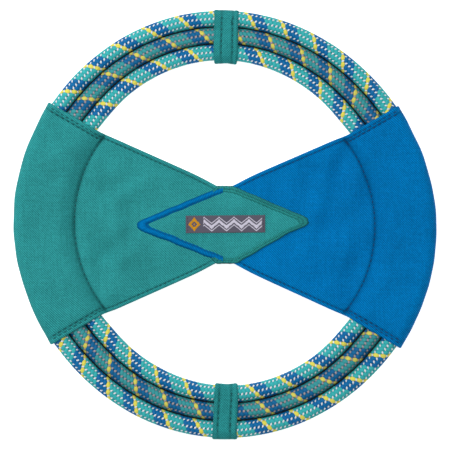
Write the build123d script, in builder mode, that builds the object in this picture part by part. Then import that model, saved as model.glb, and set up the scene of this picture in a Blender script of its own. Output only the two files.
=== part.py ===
from build123d import *

import os
from math import acos, asin, atan, atan2, cos, degrees, hypot, radians, sin, sqrt

# A flying ring: three loops of rope lie side by side and two fabric wings are folded round them.
# The wings' tips cross at the middle, under a patch on each face, and two straps bind the loops
# between the wings. It lies flat: +Z is up through the front face, and the origin is under its
# centre, on the surface that it rests on. All sizes are in millimetres.

# ---- Driving dimensions -------------------------------------------------------------------
ROPE_D = 9.5  # climbing rope
CORE_D = 7.5  # the rope's core, inside its braided sheath
ROPE_GAP = 0.1  # between neighbouring loops
LOOPS_OUTER_R = 119.0  # outside of the outer loop
CLOTH_T = 0.7  # one layer of heavy pack cloth
WRAP_CLEARANCE = 0.05  # between a rope and the cloth round it
WHIPPING_LENGTH = 24.0  # twine bound over the butt joint of each loop

SEAM_R = 84.5  # arc seam that closes each wing along the loops' inside
SEAM_GATHER = 0.2  # a wing's two layers part this far outside the seam
EDGE_SLOPE = 0.445  # rise over run of a wing's edge across the web
EDGE_AT_CENTRE = 20.8  # half height of a wing where it crosses the centre line
CORNER_X = 70.0  # where a wing's edge turns to run out over the loops
SLEEVE_SLOPE = 0.58  # rise over run of the edge from there outward

TIP_GROWTH = 1.0  # the crossed tips reach this far past the wings' edge lines
TIP_INSET = 1.5  # the buried tip is cut back this far inside the edge lines
TIP_ROUND = 2.0
HEM_WIDTH = 3.0  # folded edge round the crossed tips
HEM_RISE = 0.4  # how far that edge stands above the cloth beside it

STRAP_WIDTH = 13.0
LABEL_LENGTH, LABEL_WIDTH, LABEL_T = 44.7, 9.8, 0.5
LABEL_X = 0.45  # the label is sewn on a little off centre

STITCH_PITCH = 3.0
STITCH_LENGTH = 2.4
STITCH_POINT = 0.5  # length of each tapered end
THREAD_R = 0.2
STITCH_GAP = 0.02  # between a stitch and the cloth it lies on
STITCH_DROP = 0.25  # from the cloth down to a flush stitch's middle, so it clears a curve's crest
VALLEY_WIDTH = 0.8  # what a seam's tension pulls down into the cloth, so its stitches lie flush
VALLEY_DEPTH = 0.48
EDGE_SEAM_INSET = 2.3  # topstitching, in from a wing's edge
EDGE_SEAM_START_R = 23.0  # that seam's inner end, just outside the crossed tips
EDGE_SEAM_END_R = 116.5  # its outer end, short of the outer fold
VALLEY_END_R = 118.0
ARC_SEAM_R = 83.9  # stitching of the seam at SEAM_R
PATCH_SEAM_INSET = 0.7  # in from the folded edge round the patch
STRAP_SEAM_X = 4.3
LABEL_SEAM_INSET = 1.2
GROOVE_THREAD_R = 0.35
GROOVE_THREAD_HEIGHT = 2.0  # above and below the loops' middle plane

# ---- Worked out from them -----------------------------------------------------------------
ROPE_R = ROPE_D / 2
CORE_R = CORE_D / 2
LOOP_PITCH = ROPE_D + ROPE_GAP
OUTER_LOOP_R = LOOPS_OUTER_R - ROPE_R
MIDDLE_LOOP_R = OUTER_LOOP_R - LOOP_PITCH
INNER_LOOP_R = MIDDLE_LOOP_R - LOOP_PITCH
WRAP_R = ROPE_R + WRAP_CLEARANCE  # inside of the cloth, from a loop's middle
HALF_H = WRAP_R + CLOTH_T
MIDDLE = Plane.XY.offset(HALF_H)  # the loops' middle plane
WEB_TOP = CLOTH_T  # heights above the middle plane: a web is one layer each side of it
TONGUE_TOP = WEB_TOP + CLOTH_T
PATCH_TOP = TONGUE_TOP + CLOTH_T
HEM_TOP = PATCH_TOP + HEM_RISE
EDGE_ANGLE = atan(EDGE_SLOPE)
CORNER_Y = EDGE_AT_CENTRE + EDGE_SLOPE * CORNER_X
REACH = 1.2 * LOOPS_OUTER_R  # safely past the whole ring
SLEEVE_SPAN = 90  # degrees of arc that hold a whole wing
PATH_STEP = 0.5  # spacing of the points that lay a seam over a curved surface

RIGHT, LEFT = 1, -1
FRONT, BACK = 1, -1


def radial_plane(angle):
    """Upright plane through the ring's axis: local x runs outward at this angle, local y up."""
    a = radians(angle)
    return Plane(origin=(0, 0, HALF_H), x_dir=(cos(a), sin(a), 0), z_dir=(sin(a), -cos(a), 0))


def save(part, label):
    part.label = label
    export_step(part, f"parts/{label}.step")


# ---- Rope loops ---------------------------------------------------------------------------
def ring_of_tube(loop_r, outer_r, inner_r, start_angle, arc):
    """A tube bent round the ring's axis, or a rod where inner_r is 0."""
    with BuildPart() as tube:
        with BuildSketch(radial_plane(start_angle)):
            with Locations((loop_r, 0)):
                Circle(outer_r)
                if inner_r:
                    Circle(inner_r, mode=Mode.SUBTRACT)
        revolve(axis=Axis.Z, revolution_arc=arc)
    return tube.part


def save_rope_loop(name, loop_r, joint_angle):
    """A loop of rope whose ends butt together under a twine whipping, hidden in a wing."""
    joint_arc = degrees(WHIPPING_LENGTH / loop_r)
    joint_start = joint_angle - joint_arc / 2
    save(ring_of_tube(loop_r, CORE_R, 0, joint_angle, 360), f"{name}_rope_core")
    save(ring_of_tube(loop_r, ROPE_R, CORE_R, joint_start, joint_arc), f"{name}_rope_whipping")
    sheath = ring_of_tube(loop_r, ROPE_R, CORE_R, joint_start + joint_arc, 360 - joint_arc)
    save(sheath, f"{name}_rope_sheath")


def save_groove_thread(name, groove_r):
    """Thread that joins two neighbouring loops, low in the groove between them on both faces."""
    with BuildPart() as thread:
        with BuildSketch(radial_plane(0)):
            with Locations((groove_r, GROOVE_THREAD_HEIGHT), (groove_r, -GROOVE_THREAD_HEIGHT)):
                Circle(GROOVE_THREAD_R)
        revolve(axis=Axis.Z, revolution_arc=360)
    save(thread.part, f"{name}_groove_thread")


# ---- Section of a sleeve ------------------------------------------------------------------
def slope_angle(foot_r, foot_z, wrap_r):
    """Where, in degrees round the inner loop's middle, a straight slope from the foot ends."""
    run = foot_r - INNER_LOOP_R
    return degrees(atan2(foot_z, run) - acos(wrap_r / hypot(run, foot_z)))


def half_wrap(foot_r, foot_z, wrap_r):
    """Upper half of what cloth at wrap_r from the loops' middles goes round, from its seam."""
    angle = slope_angle(foot_r, foot_z, wrap_r)
    feet = [(OUTER_LOOP_R + wrap_r, 0), (foot_r, 0)]
    if foot_z:
        feet.append((foot_r, foot_z))
    with BuildSketch() as half:
        with BuildLine():
            over_inner_loop = CenterArc((INNER_LOOP_R, 0), wrap_r, 90, angle - 90)
            Line((INNER_LOOP_R, wrap_r), (OUTER_LOOP_R, wrap_r))
            CenterArc((OUTER_LOOP_R, 0), wrap_r, 0, 90)
            Polyline(*feet, over_inner_loop @ 1)
        make_face()
    return half.sketch


def cover(foot_r, foot_z, wrap_r, middle_angle):
    """All that lies inside cloth at wrap_r from the loops' middles, over a wing's span."""
    with BuildPart() as inside:
        with BuildSketch(radial_plane(middle_angle - SLEEVE_SPAN / 2)):
            add(half_wrap(foot_r, foot_z, wrap_r))
            mirror(about=Plane.XZ)
        revolve(axis=Axis.Z, revolution_arc=SLEEVE_SPAN)
        if foot_z:
            with BuildSketch(MIDDLE):
                Circle(foot_r)
            extrude(amount=foot_z, both=True)
    return inside.part


def wing_height(x, y):
    """Height of a wing's front surface over the middle plane."""
    r = hypot(x, y)
    slope_end = radians(slope_angle(SEAM_R, WEB_TOP, HALF_H))
    slope_end_r = INNER_LOOP_R + HALF_H * cos(slope_end)
    if r <= SEAM_R:
        return WEB_TOP
    if r < slope_end_r:
        return WEB_TOP + (HALF_H * sin(slope_end) - WEB_TOP) * (r - SEAM_R) / (slope_end_r - SEAM_R)
    past = max(INNER_LOOP_R - r, r - OUTER_LOOP_R, 0)
    return sqrt(HALF_H**2 - past**2)


def patch_height(x, y):
    return PATCH_TOP


def label_height(x, y):
    return PATCH_TOP + LABEL_T


def strap_height(x, y):
    return HALF_H


# ---- Plan shapes --------------------------------------------------------------------------
def diamond(growth, tip_round=0.0):
    """Where the wings' edge lines cross, with every side moved out by growth."""
    half_length = EDGE_AT_CENTRE / EDGE_SLOPE + growth / sin(EDGE_ANGLE)
    half_width = EDGE_AT_CENTRE + growth / cos(EDGE_ANGLE)
    with BuildSketch() as sketch:
        with BuildLine():
            Polyline((half_length, 0), (0, half_width), (-half_length, 0), (0, -half_width), close=True)
        make_face()
        if tip_round:
            fillet(sketch.vertices().sort_by(Axis.X)[0::3], tip_round)
    return sketch.sketch


def half_of(sketch, side):
    """The part of a centred sketch on one side of the centre line."""
    with BuildSketch() as half:
        add(sketch)
        with Locations((side * REACH / 2, 0)):
            Rectangle(REACH, REACH, mode=Mode.INTERSECT)
    return half.sketch


def hem(side):
    """The folded edge of a tip: a band along the diamond's two sides on that side."""
    with BuildSketch() as band:
        add(half_of(diamond(TIP_GROWTH, TIP_ROUND), side))
        add(diamond(TIP_GROWTH - HEM_WIDTH), mode=Mode.SUBTRACT)
    return band.sketch


def wing_outline(side):
    """A wing from the centre line outward, running past the loops."""
    far_y = CORNER_Y + SLEEVE_SLOPE * (REACH - CORNER_X)
    upper = [(0, EDGE_AT_CENTRE), (side * CORNER_X, CORNER_Y), (side * REACH, far_y)]
    lower = [(x, -y) for x, y in reversed(upper)]
    with BuildSketch() as outline:
        with BuildLine():
            Polyline(*upper, *lower, close=True)
        make_face()
    return outline.sketch


def layer(face, low, high):
    """The plane of a layer's inner surface, and its thickness along that plane's normal."""
    plane = MIDDLE.offset(face * low)
    return plane, face * (high - low)


# ---- Stitches -----------------------------------------------------------------------------
def stitch():
    """One stitch along local x: round, with points where the thread dives into the cloth."""
    half_length = STITCH_LENGTH / 2
    shoulder = half_length - STITCH_POINT
    with BuildPart() as thread:
        with BuildSketch():
            with BuildLine():
                Polyline(
                    (-half_length, 0),
                    (-shoulder, THREAD_R),
                    (shoulder, THREAD_R),
                    (half_length, 0),
                    close=True,
                )
            make_face()
        revolve(axis=Axis.X, revolution_arc=360)
    return thread.part


STITCH = stitch()


def laid(plan_points, height):
    """A seam's path: straight runs between plan points, laid over a front surface."""
    corners = [Vector(*p) for p in plan_points]
    points = [corners[0]]
    for start, end in zip(corners, corners[1:]):
        steps = max(1, round((end - start).length / PATH_STEP))
        points += [start + (end - start) * (i / steps) for i in range(1, steps + 1)]
    return Polyline(*[(p.X, p.Y, height(p.X, p.Y)) for p in points])


def normal_of(height, x, y):
    """Upward normal of a height surface."""
    step = 0.01
    rise_x = (height(x + step, y) - height(x - step, y)) / (2 * step)
    rise_y = (height(x, y + step) - height(x, y - step)) / (2 * step)
    return Vector(-rise_x, -rise_y, 1)


def stitch_planes(plan_points, height, faces=(FRONT, BACK)):
    """A plane for each stitch of a seam: on the cloth, x along the seam and z out of the cloth."""
    path = laid(plan_points, height)
    count = int(path.length // STITCH_PITCH)
    planes = []
    for i in range(count):
        at = (i + 0.5) / count
        centre, along = path @ at, path % at
        normal = normal_of(height, centre.X, centre.Y)
        for face in faces:
            planes.append(
                Plane(
                    origin=(centre.X, centre.Y, HALF_H + face * centre.Z),
                    x_dir=(along.X, along.Y, face * along.Z),
                    z_dir=(normal.X, normal.Y, face * normal.Z),
                )
            )
    return planes


def save_thread(label, planes, flush=False):
    """The stitches of a seam, lying on the cloth or flush with it in a valley."""
    lift = -STITCH_DROP if flush else THREAD_R + STITCH_GAP
    with BuildPart() as thread:
        with Locations(*[plane.offset(lift) for plane in planes]):
            add(STITCH)
    save(thread.part, label)


# ---- Seams --------------------------------------------------------------------------------
def on_line_at(slope, intercept, r):
    """The point at radius r on a line in plan that rises outward."""
    line_angle = atan(slope)
    angle = line_angle + asin(intercept * cos(line_angle) / r)
    return r * cos(angle), r * sin(angle)


def edge_seam(side, half, inset, start_r, end_r):
    """Part of the line that runs at an inset from a wing's edge, between two radii."""
    web_y0 = EDGE_AT_CENTRE - inset * sqrt(1 + EDGE_SLOPE**2)
    sleeve_y0 = CORNER_Y - SLEEVE_SLOPE * CORNER_X - inset * sqrt(1 + SLEEVE_SLOPE**2)
    turn_x = (web_y0 - sleeve_y0) / (SLEEVE_SLOPE - EDGE_SLOPE)
    turn = (turn_x, web_y0 + EDGE_SLOPE * turn_x)
    start = on_line_at(EDGE_SLOPE, web_y0, start_r)
    if end_r < hypot(*turn):
        points = [start, on_line_at(EDGE_SLOPE, web_y0, end_r)]
    else:
        points = [start, turn, on_line_at(SLEEVE_SLOPE, sleeve_y0, end_r)]
    return [(side * x, half * y) for x, y in points]


def edge_valley(side, half):
    """Plan of the valley along a wing's edge, on past both ends of its stitching."""
    near = edge_seam(side, half, EDGE_SEAM_INSET - VALLEY_WIDTH / 2, EDGE_SEAM_START_R, VALLEY_END_R)
    far = edge_seam(side, half, EDGE_SEAM_INSET + VALLEY_WIDTH / 2, EDGE_SEAM_START_R, VALLEY_END_R)
    with BuildSketch() as valley:
        with BuildLine():
            Polyline(*near, *reversed(far), close=True)
        make_face()
    return valley.sketch


def arc_seam(side):
    """The seam that closes a sleeve along the loops' inside, between the edges' topstitching."""
    end_x, end_y = edge_seam(side, 1, 2 * EDGE_SEAM_INSET, EDGE_SEAM_START_R, ARC_SEAM_R)[1]
    end_angle = atan2(end_y, side * end_x)
    steps = 60
    angles = [end_angle * (2 * i / steps - 1) for i in range(steps + 1)]
    return [(side * ARC_SEAM_R * cos(a), ARC_SEAM_R * sin(a)) for a in angles]


def patch_seam():
    """Four runs just inside the folded edges."""
    inset = HEM_WIDTH - TIP_GROWTH + PATCH_SEAM_INSET
    half_length = EDGE_AT_CENTRE / EDGE_SLOPE - inset / sin(EDGE_ANGLE)
    half_width = EDGE_AT_CENTRE - inset / cos(EDGE_ANGLE)
    tips = [(half_length, 0), (0, half_width), (-half_length, 0), (0, -half_width)]
    return list(zip(tips, tips[1:] + tips[:1]))


# ---- Fabric pieces ------------------------------------------------------------------------
def sleeve_and_web(side):
    """A wing up to the centre line: cloth folded round the loops and sewn to itself inside them."""
    angle = 0 if side == RIGHT else 180
    with BuildPart() as inside_valleys:
        add(cover(SEAM_R, WEB_TOP - VALLEY_DEPTH, HALF_H - VALLEY_DEPTH, angle))
    with BuildPart() as valleys:
        with BuildSketch():
            for half in (1, -1):
                add(edge_valley(side, half))
        extrude(amount=2 * HALF_H)
        add(inside_valleys.part, mode=Mode.SUBTRACT)
    with BuildPart() as wing:
        add(cover(SEAM_R, WEB_TOP, HALF_H, angle))
        add(cover(SEAM_R + SEAM_GATHER, 0, WRAP_R, angle), mode=Mode.SUBTRACT)
        with BuildSketch():
            add(wing_outline(side))
        extrude(amount=2 * HALF_H, mode=Mode.INTERSECT)
        add(valleys.part, mode=Mode.SUBTRACT)
    return wing.part


def save_wing_stitching(name, side):
    """Edge topstitching, in two runs that meet where the sleeve rises from the web, and arc seam."""
    runs = []
    for half in (1, -1):
        runs.append(edge_seam(side, half, EDGE_SEAM_INSET, EDGE_SEAM_START_R, SEAM_R))
        runs.append(edge_seam(side, half, EDGE_SEAM_INSET, SEAM_R, EDGE_SEAM_END_R))
    planes = [plane for run in runs for plane in stitch_planes(run, wing_height)]
    save_thread(f"{name}_wing_edge_stitching", planes, flush=True)
    save_thread(f"{name}_wing_arc_stitching", stitch_planes(arc_seam(side), wing_height))


def save_left_wing():
    """The wing whose tip is buried under the other wing's tip."""
    with BuildPart() as wing:
        add(sleeve_and_web(LEFT))
        with BuildSketch(MIDDLE):
            add(diamond(-TIP_INSET))
        extrude(amount=WEB_TOP, both=True)
    save(wing.part, "left_wing_panel")
    save_wing_stitching("left", LEFT)


def save_right_wing():
    """The wing whose tip lies over the other's on both faces, its edge folded over the patch."""
    with BuildPart() as wing:
        add(sleeve_and_web(RIGHT))
        with BuildSketch(MIDDLE):
            add(diamond(-TIP_INSET))
        extrude(amount=WEB_TOP, both=True, mode=Mode.SUBTRACT)
        for face in (FRONT, BACK):
            plane, thickness = layer(face, WEB_TOP, TONGUE_TOP)
            with BuildSketch(plane):
                add(diamond(TIP_GROWTH, TIP_ROUND))
            extrude(amount=thickness)
            plane, thickness = layer(face, TONGUE_TOP, HEM_TOP)
            with BuildSketch(plane):
                add(hem(LEFT))
            extrude(amount=thickness)
    save(wing.part, "right_wing_panel")
    save_wing_stitching("right", RIGHT)


def save_patch(name, face):
    """The diamond over the crossed tips, with its own folded edge on the right."""
    with BuildPart() as patch:
        plane, thickness = layer(face, TONGUE_TOP, PATCH_TOP)
        with BuildSketch(plane):
            add(half_of(diamond(TIP_GROWTH, TIP_ROUND), RIGHT))
            add(half_of(diamond(TIP_GROWTH - HEM_WIDTH), LEFT))
        extrude(amount=thickness)
        plane, thickness = layer(face, PATCH_TOP, HEM_TOP)
        with BuildSketch(plane):
            add(hem(RIGHT))
        extrude(amount=thickness)
    save(patch.part, f"{name}_patch")
    planes = [p for run in patch_seam() for p in stitch_planes(run, patch_height, (face,))]
    save_thread(f"{name}_patch_stitching", planes)


def save_strap(name, half):
    """A strap of doubled cloth bound round the three loops between the wings."""
    valley_length = OUTER_LOOP_R - INNER_LOOP_R
    strap_arc = 10  # degrees, wider than the strap
    with BuildPart() as strap:
        with BuildSketch(radial_plane(half * 90 - strap_arc / 2)):
            for wrap_r, mode in ((HALF_H, Mode.ADD), (WRAP_R, Mode.SUBTRACT)):
                with Locations((MIDDLE_LOOP_R, 0)):
                    SlotCenterToCenter(2 * LOOP_PITCH, 2 * wrap_r, mode=mode)
        revolve(axis=Axis.Z, revolution_arc=strap_arc)
        with BuildSketch():
            Rectangle(STRAP_WIDTH, 2 * REACH)
        extrude(amount=2 * HALF_H, mode=Mode.INTERSECT)
        for face in (FRONT, BACK):
            plane, thickness = layer(face, HALF_H - VALLEY_DEPTH, HALF_H)
            with BuildSketch(plane):
                with Locations(*[(x, half * MIDDLE_LOOP_R) for x in (-STRAP_SEAM_X, STRAP_SEAM_X)]):
                    Rectangle(VALLEY_WIDTH, valley_length)
            extrude(amount=thickness, mode=Mode.SUBTRACT)
    save(strap.part, f"{name}_strap")
    ends = (half * INNER_LOOP_R, half * OUTER_LOOP_R)
    seams = [[(x, y) for y in ends] for x in (-STRAP_SEAM_X, STRAP_SEAM_X)]
    planes = [p for seam in seams for p in stitch_planes(seam, strap_height)]
    save_thread(f"{name}_strap_stitching", planes, flush=True)


def save_label():
    """A woven label, stitched down across both ends."""
    with BuildPart() as label:
        with BuildSketch(MIDDLE.offset(PATCH_TOP)):
            with Locations((LABEL_X, 0)):
                Rectangle(LABEL_LENGTH, LABEL_WIDTH)
        extrude(amount=LABEL_T)
    save(label.part, "woven_label")
    seam_x = LABEL_LENGTH / 2 - LABEL_SEAM_INSET
    seam_y = LABEL_WIDTH / 2 - LABEL_SEAM_INSET / 2
    seams = [[(LABEL_X + x, -seam_y), (LABEL_X + x, seam_y)] for x in (-seam_x, seam_x)]
    planes = [p for seam in seams for p in stitch_planes(seam, label_height, (FRONT,))]
    save_thread("label_stitching", planes)


os.makedirs("parts", exist_ok=True)
save_rope_loop("outer", OUTER_LOOP_R, joint_angle=180)
save_rope_loop("middle", MIDDLE_LOOP_R, joint_angle=0)
save_rope_loop("inner", INNER_LOOP_R, joint_angle=180)
save_groove_thread("outer", (OUTER_LOOP_R + MIDDLE_LOOP_R) / 2)
save_groove_thread("inner", (MIDDLE_LOOP_R + INNER_LOOP_R) / 2)
save_left_wing()
save_right_wing()
save_patch("front", FRONT)
save_patch("back", BACK)
save_label()
save_strap("upper", 1)
save_strap("lower", -1)
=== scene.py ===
from math import acos, atan, atan2, cos, hypot, pi, radians, sin, sqrt, tan

import bpy
import numpy as np
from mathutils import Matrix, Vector


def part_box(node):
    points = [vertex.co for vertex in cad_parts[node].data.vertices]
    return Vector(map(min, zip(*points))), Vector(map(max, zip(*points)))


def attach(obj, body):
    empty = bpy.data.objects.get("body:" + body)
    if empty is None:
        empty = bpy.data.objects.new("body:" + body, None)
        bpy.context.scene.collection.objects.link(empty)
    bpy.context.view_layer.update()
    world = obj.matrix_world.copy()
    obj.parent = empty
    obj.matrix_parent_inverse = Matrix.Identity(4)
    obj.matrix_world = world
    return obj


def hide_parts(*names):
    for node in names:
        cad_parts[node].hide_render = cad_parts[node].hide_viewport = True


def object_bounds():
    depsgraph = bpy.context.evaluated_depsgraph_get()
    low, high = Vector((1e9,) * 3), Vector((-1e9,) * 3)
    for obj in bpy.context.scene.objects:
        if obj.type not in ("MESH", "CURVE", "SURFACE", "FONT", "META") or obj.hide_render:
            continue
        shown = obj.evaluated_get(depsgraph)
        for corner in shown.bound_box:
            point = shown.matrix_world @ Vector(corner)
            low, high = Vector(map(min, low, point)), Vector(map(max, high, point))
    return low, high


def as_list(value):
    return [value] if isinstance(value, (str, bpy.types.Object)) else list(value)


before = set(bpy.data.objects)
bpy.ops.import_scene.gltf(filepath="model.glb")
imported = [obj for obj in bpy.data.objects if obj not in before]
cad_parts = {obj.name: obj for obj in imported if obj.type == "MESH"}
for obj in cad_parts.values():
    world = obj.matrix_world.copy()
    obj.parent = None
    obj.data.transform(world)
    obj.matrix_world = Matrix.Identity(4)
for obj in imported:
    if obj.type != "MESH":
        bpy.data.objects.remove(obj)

# The flying ring's finished look. Lengths are in millimetres in the ring's own frame, and they
# turn into metres as each mesh is made. Heights called z are over the loops' middle plane. On a
# wing, q runs from the centre line out to the arc seam and on over the sleeve, and a runs along
# the row at q from the wing's middle line.

MM = 0.001
cad_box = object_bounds()

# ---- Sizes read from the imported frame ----
BODY = "root"


def box_mm(node):
    """The low and high corners of a CAD node's box."""
    low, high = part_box(node)
    return np.array(low) / MM, np.array(high) / MM


def loop_radius(name):
    low, high = box_mm(f"{name}_rope_core")
    return high[0] - (high[2] - low[2]) / 2


CORE_LOW, CORE_HIGH = box_mm("outer_rope_core")
CORE_R = (CORE_HIGH[2] - CORE_LOW[2]) / 2
MID_Z = (CORE_HIGH[2] + CORE_LOW[2]) / 2
LOOP_R = {name: loop_radius(name) for name in ("outer", "middle", "inner")}
LOOP_PITCH = LOOP_R["outer"] - LOOP_R["middle"]
WRAP_R = MID_Z  # outside of the cloth, from a loop's middle
CLOTH_T = 0.7
STITCH_PITCH = 3.0


# ---- Small helpers ----
def ridge(distance, width):
    """1 at no distance, falling away like a bell over the width."""
    return np.exp(-((distance / width) ** 2))


def share(value):
    """The value held between 0 and 1."""
    return np.clip(value, 0, 1)


def unit(vectors):
    return vectors / np.maximum(np.linalg.norm(vectors, axis=-1, keepdims=True), 1e-9)


def stacked(*parts):
    """Coordinates put side by side, each spread to the shape they share."""
    return np.stack(np.broadcast_arrays(*parts), axis=-1)


def smooth_noise(x, y, seed, scale):
    """Gentle repeatable wander of size about 1, made of a few tilted waves."""
    rng = np.random.default_rng(seed)
    total = np.zeros(np.broadcast(x, y).shape)
    for _ in range(6):
        angle, phase = rng.uniform(0, 2 * pi), rng.uniform(0, 2 * pi)
        stretch = rng.uniform(0.7, 1.5)
        along = x * cos(angle) + y * sin(angle)
        total = total + np.sin(along * 2 * pi / (scale * stretch) + phase)
    return total / 2.5


def add_object(name, data):
    made = bpy.data.objects.new(name, data)
    bpy.context.scene.collection.objects.link(made)
    return made


# ---- Meshes ----
BAND_INNER_R, BAND_OUTER_R = 90.3, 116.0
BAND_FADE_R = 76.0  # inside it the wings' webs don't follow the band
MOUTH_SPREAD = 1.3  # the inner loop bulges inward by the sleeves' mouths,
MOUTH_ANGLE, MOUTH_REACH = 0.68, 0.2  # which are at this angle, in radians
# The band's departure from a circle: sizes of 1, cos a, sin a, -cos 2a, sin 2a, cos 3a, cos 4a.
OUTER_WAVES = (0.12, 0.08, 0.0, 1.0, -0.80, 0.15, 0.55)
INNER_WAVES = (-0.20, 0.0, 0.80, 0.35, -1.10, 0.0, 1.15)
REST_Z = 0.4  # under this height, what lies on the ground is pressed flat


def settle(points):
    """The soft ring lies a little out of round: its band of loops bulges, pinches and spreads."""
    x, y = points[..., 0], points[..., 1]
    r, a = np.hypot(x, y), np.arctan2(y, x)
    waves = [1 + 0 * a, np.cos(a), np.sin(a), -np.cos(2 * a), np.sin(2 * a)]
    waves += [np.cos(3 * a), np.cos(4 * a)]
    outer = sum(size * wave for size, wave in zip(OUTER_WAVES, waves))
    inner = sum(size * wave for size, wave in zip(INNER_WAVES, waves))
    from_mouth = np.arctan2(np.abs(y), np.abs(x)) - MOUTH_ANGLE
    inner = inner - MOUTH_SPREAD * ridge(from_mouth, MOUTH_REACH)
    across = share((r - BAND_INNER_R) / (BAND_OUTER_R - BAND_INNER_R))
    faded = share((r - BAND_FADE_R) / (BAND_INNER_R - BAND_FADE_R)) ** 1.5
    scale = 1 + (inner + (outer - inner) * across) * faded / np.maximum(r, 1)
    return stacked(x * scale, y * scale, points[..., 2])


def rest(z):
    """Cloth and rope flatten where they lie on the ground."""
    return np.where(z < REST_Z, REST_Z * np.exp((z - REST_Z) / REST_Z), z)


def new_piece(name, points, faces, material, uvs, painted_shades=None):
    """A piece of the ring: points in mm with z over the middle plane, one uv per point.

    The last argument says from 0 to 1 how much painted shade each point takes, where it lies deep
    in a seam or groove."""
    placed = settle(np.asarray(points, float).reshape(-1, 3)) + (0, 0, MID_Z)
    placed[:, 2] = rest(placed[:, 2])
    mesh = bpy.data.meshes.new(name)
    mesh.from_pydata((placed * MM).tolist(), [], np.asarray(faces).tolist())
    layer = mesh.uv_layers.new(name="cloth_mm")
    corners = np.empty(len(mesh.loops), dtype=np.int32)
    mesh.loops.foreach_get("vertex_index", corners)
    layer.data.foreach_set("uv", np.asarray(uvs, float).reshape(-1, 2)[corners].ravel())
    # Painted shade: a point attribute that darkens the cloth and yarn colours in seams and grooves.
    if painted_shades is not None:
        depth = mesh.attributes.new("depth", "FLOAT", "POINT")
        depth.data.foreach_set("value", np.asarray(painted_shades, float).ravel())
    mesh.polygons.foreach_set("use_smooth", [True] * len(mesh.polygons))
    mesh.materials.append(material)
    mesh.update()
    piece = add_object(name, mesh)
    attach(piece, BODY)
    return piece


def grid_faces(rows, columns, close_rows=False, close_columns=False, flip=False):
    """Quads of a grid of points stored row by row."""
    i = np.arange(rows if close_rows else rows - 1)[:, None]
    j = np.arange(columns if close_columns else columns - 1)[None, :]
    next_i, next_j = (i + 1) % rows, (j + 1) % columns
    places = ((i, j), (i, next_j), (next_i, next_j), (next_i, j))
    quads = stacked(*(row * columns + column for row, column in places)).reshape(-1, 4)
    return quads[:, ::-1] if flip else quads


def tube(path, up, widths, heights, around):
    """A closed-ended tube of oval section along a path: points, faces and uvs in mm."""
    along = unit(np.gradient(path, axis=0))
    side = unit(np.cross(along, up))
    top = np.cross(side, along)
    turn = np.linspace(0, 2 * pi, around, endpoint=False)
    ring = np.cos(turn)[:, None] * (side * widths[:, None])[:, None] / 2
    ring = ring + np.sin(turn)[:, None] * (top * heights[:, None])[:, None] / 2
    caps = [np.repeat(path[end][None, None], around, axis=1) for end in (0, -1)]
    points = np.concatenate([caps[0], path[:, None] + ring, caps[1]])
    steps = np.linalg.norm(np.diff(path, axis=0), axis=1)
    length = np.concatenate([[0, 0], np.cumsum(steps)])
    length = np.append(length, length[-1])
    round_it = turn / (2 * pi) * pi * float(np.mean(widths))
    uvs = stacked(length[:, None], round_it)
    return points, grid_faces(len(length), around, close_columns=True), uvs


class Gathered:
    """Meshes collected into one piece."""

    def __init__(self):
        self.points, self.faces, self.uvs, self.count = [], [], [], 0

    def put(self, points, faces, uvs):
        points = points.reshape(-1, 3)
        self.points.append(points)
        self.faces.append(faces + self.count)
        self.uvs.append(uvs.reshape(-1, 2))
        self.count += len(points)

    def put_even_tube(self, path, face, width, height, around):
        """A tube of one section all along, with its top towards a face."""
        count = len(path)
        up = np.tile([0.0, 0.0, float(face)], (count, 1))
        self.put(*tube(path, up, np.full(count, width), np.full(count, height), around))

    def piece(self, name, material, slot, painted_shade_at=None):
        points, faces, uvs = map(np.concatenate, (self.points, self.faces, self.uvs))
        painted_shades = None if painted_shade_at is None else painted_shade_at(points)
        return new_piece(name, points, faces, material, uvs, painted_shades)


# ---- Wing outline, in plan ----
SEAM_R = 84.5  # of the arc seam between web and sleeve
WEB_Z = 0.9
EDGE_SLOPE, EDGE_AT_CENTRE = 0.445, 20.8  # of a web's straight edge, and its y at x = 0
SLEEVE_SLOPE = 0.58
CORNER_X = 70.0  # where the web's edge meets the sleeve's
CORNER_Y = EDGE_AT_CENTRE + EDGE_SLOPE * CORNER_X
CORNER_R = hypot(CORNER_X, CORNER_Y)
SLEEVE_Y0 = CORNER_Y - SLEEVE_SLOPE * CORNER_X
LEAST_EDGE_R = 20.0  # inside it an edge's angle is held
WAIST_PULL, WAIST_REACH = 0.055, 13.0
WING_LEAN = {-1: 0.0, 1: -0.012}  # slope of a wing's middle line, left and right
# What share of a distance along a row, near its edge, lies square to the edge.
WEB_SQUARE, WEB_SQUARE_GAIN, SLEEVE_SQUARE = 0.913, 0.064, 0.99

FOOT_RUN = SEAM_R - LOOP_R["inner"]
SLOPE_END = atan2(WEB_Z, FOOT_RUN) - acos(WRAP_R / hypot(FOOT_RUN, WEB_Z))
SLOPE_TOP = np.array([LOOP_R["inner"] + WRAP_R * cos(SLOPE_END), WRAP_R * sin(SLOPE_END)])
SLOPE_FOOT = np.array([SEAM_R, WEB_Z])
SLOPE_L = float(np.linalg.norm(SLOPE_TOP - SLOPE_FOOT))
CROWN_L = WRAP_R * (SLOPE_END - pi / 2)
FLAT_L = 2 * LOOP_PITCH
FOLD_L = WRAP_R * pi / 2
SLEEVE_L = SLOPE_L + CROWN_L + FLAT_L + FOLD_L
RISE_END = 95.6  # where the padded rise from the seam is level with the loops' crowns


def line_angle(r, slope, at_centre):
    """The angle at which a straight edge crosses radius r."""
    lean = atan(slope)
    return lean + np.arcsin(at_centre * cos(lean) / np.maximum(r, LEAST_EDGE_R))


def edge_angle(r):
    """Half the angle that a wing takes at radius r."""
    web = line_angle(r, EDGE_SLOPE, EDGE_AT_CENTRE)
    return np.where(r < CORNER_R, web, line_angle(r, SLEEVE_SLOPE, SLEEVE_Y0))


SEAM_ANGLE = float(edge_angle(SEAM_R))


def waist(q):
    """How much the crossing's hems narrow a wing near the centre."""
    return 1 - WAIST_PULL * ridge(q, WAIST_REACH)


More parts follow.
